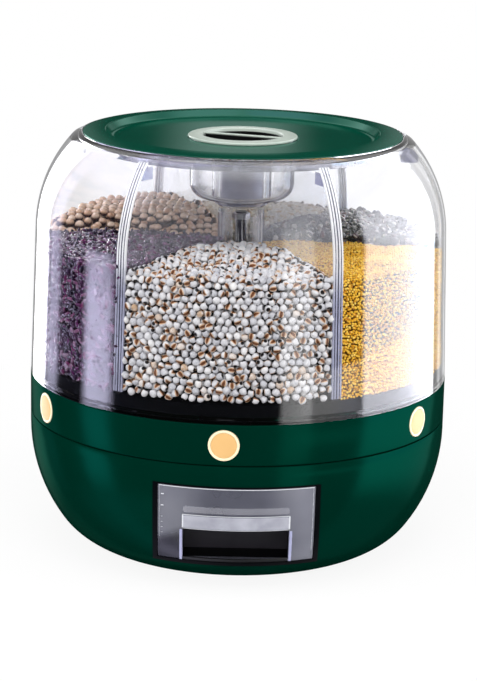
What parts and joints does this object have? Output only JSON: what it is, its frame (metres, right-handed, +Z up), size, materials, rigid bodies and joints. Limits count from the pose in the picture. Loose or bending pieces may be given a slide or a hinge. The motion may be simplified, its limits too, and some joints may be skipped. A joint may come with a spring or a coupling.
{
  "type": "rotating food dispenser",
  "caption": "Round turning dry-food dispenser: clear divided dome on a green base, push buttons that drop food into a front drawer, lift-off lid with a moisture box.",
  "frame": {"origin": "centre of the underside, on the table", "axes": "+Z up along the turning axis, -Y towards the drawer"},
  "size_m": [0.3, 0.3008, 0.3],
  "materials": {
    "green_plastic": "satin gloss, moulded",
    "clear_plastic": "clear, polished",
    "smoky_plastic": "clear smoky grey",
    "button_plastic": "satin, pale orange face in a cream rim",
    "cream_plastic": "satin",
    "black_plastic": "matt",
    "grey_plastic": "matt",
    "white_plastic": "matt, low friction",
    "steel": "bright",
    "soft_rubber": "matt"
  },
  "bodies": {
    "base": {"base_shell": "green_plastic", "bottom_cover": "black_plastic", "rubber_feet": "soft_rubber", "cover_screws": "steel", "base_deck": "black_plastic", "deck_screws": "steel", "lower_race": "steel", "spindle": "steel", "spindle_nuts": "steel", "window_frame": "black_plastic", "drawer_bay": "black_plastic"},
    "bearing_cage": {"ball_cage": "white_plastic", "bearing_balls": "steel"},
    "drawer": {"drawer_box": "smoky_plastic"},
    "rotor": {"button_ring": "green_plastic", "rotor_plate": "black_plastic", "turntable_ribs": "black_plastic", "ring_screws": "steel", "upper_race": "steel", "bushings": "clear_plastic", "floor_tray": "black_plastic", "floor_rim": "black_plastic", "outlet_sleeves": "black_plastic", "dome_shell": "clear_plastic", "divider_channels": "clear_plastic", "centre_tube": "clear_plastic", "column_cap": "clear_plastic", "divider_1": "clear_plastic", "divider_2": "clear_plastic", "divider_3": "clear_plastic", "divider_4": "clear_plastic", "divider_5": "clear_plastic", "divider_6": "clear_plastic"},
    "lid": {"lid_cover": "green_plastic", "lid_plug": "clear_plastic", "lid_gasket": "soft_rubber"},
    "moisture_box": {"desiccant_cup": "clear_plastic", "desiccant_well": "clear_plastic", "desiccant_cartridge": "black_plastic", "cartridge_lid": "white_plastic"},
    "twist_cap": {"cap_ring": "cream_plastic", "cap_dish": "black_plastic"},
    "button_1": {"button_cap_1": "button_plastic", "gate_1": "grey_plastic", "return_spring_1": "steel"},
    "button_2": {"button_cap_2": "button_plastic", "gate_2": "grey_plastic", "return_spring_2": "steel"},
    "button_3": {"button_cap_3": "button_plastic", "gate_3": "grey_plastic", "return_spring_3": "steel"},
    "button_4": {"button_cap_4": "button_plastic", "gate_4": "grey_plastic", "return_spring_4": "steel"},
    "button_5": {"button_cap_5": "button_plastic", "gate_5": "grey_plastic", "return_spring_5": "steel"},
    "button_6": {"button_cap_6": "button_plastic", "gate_6": "grey_plastic", "return_spring_6": "steel"}
  },
  "joints": [
    {"name": "rotor_turn", "type": "hinge", "parent": "base", "child": "rotor", "pos_m": [0, 0, 0.0944], "axis": [0, 0, 1], "continuous": true},
    {"name": "cage_turn", "type": "hinge", "parent": "base", "child": "bearing_cage", "pos_m": [0, 0, 0.0944], "axis": [0, 0, 1], "continuous": true},
    {"name": "drawer_slide", "type": "slide", "parent": "base", "child": "drawer", "axis": [0, -1, 0], "range_m": [0, 0.09]},
    {"name": "lid_lift", "type": "slide", "parent": "rotor", "child": "lid", "axis": [0, 0, 1], "range_m": [0, 0.1]},
    {"name": "moisture_box_lift", "type": "slide", "parent": "lid", "child": "moisture_box", "axis": [0, 0, 1], "range_m": [0, 0.06]},
    {"name": "cap_twist", "type": "hinge", "parent": "moisture_box", "child": "twist_cap", "pos_m": [0, 0, 0.295], "axis": [0, 0, 1], "range_deg": [0, 90]},
    {"name": "button_1_press", "type": "slide", "parent": "rotor", "child": "button_1", "axis": [0.0628, 0.998, 0], "range_m": [0, 0.012], "stiffness_N_per_m": 250, "springref_m": -0.004, "deforming": ["return_spring_1"]},
    {"name": "button_2_press", "type": "slide", "parent": "rotor", "child": "button_2", "axis": [-0.8329, 0.5534, 0], "range_m": [0, 0.012], "stiffness_N_per_m": 250, "springref_m": -0.004, "deforming": ["return_spring_2"]},
    {"name": "button_3_press", "type": "slide", "parent": "rotor", "child": "button_3", "axis": [-0.8957, -0.4446, 0], "range_m": [0, 0.012], "stiffness_N_per_m": 250, "springref_m": -0.004, "deforming": ["return_spring_3"]},
    {"name": "button_4_press", "type": "slide", "parent": "rotor", "child": "button_4", "axis": [-0.0628, -0.998, 0], "range_m": [0, 0.012], "stiffness_N_per_m": 250, "springref_m": -0.004, "deforming": ["return_spring_4"]},
    {"name": "button_5_press", "type": "slide", "parent": "rotor", "child": "button_5", "axis": [0.8329, -0.5534, 0], "range_m": [0, 0.012], "stiffness_N_per_m": 250, "springref_m": -0.004, "deforming": ["return_spring_5"]},
    {"name": "button_6_press", "type": "slide", "parent": "rotor", "child": "button_6", "axis": [0.8957, 0.4446, 0], "range_m": [0, 0.012], "stiffness_N_per_m": 250, "springref_m": -0.004, "deforming": ["return_spring_6"]}
  ],
  "couplings": [
    {"joint": "cage_turn", "follows": "rotor_turn", "ratio": 0.5}
  ]
}
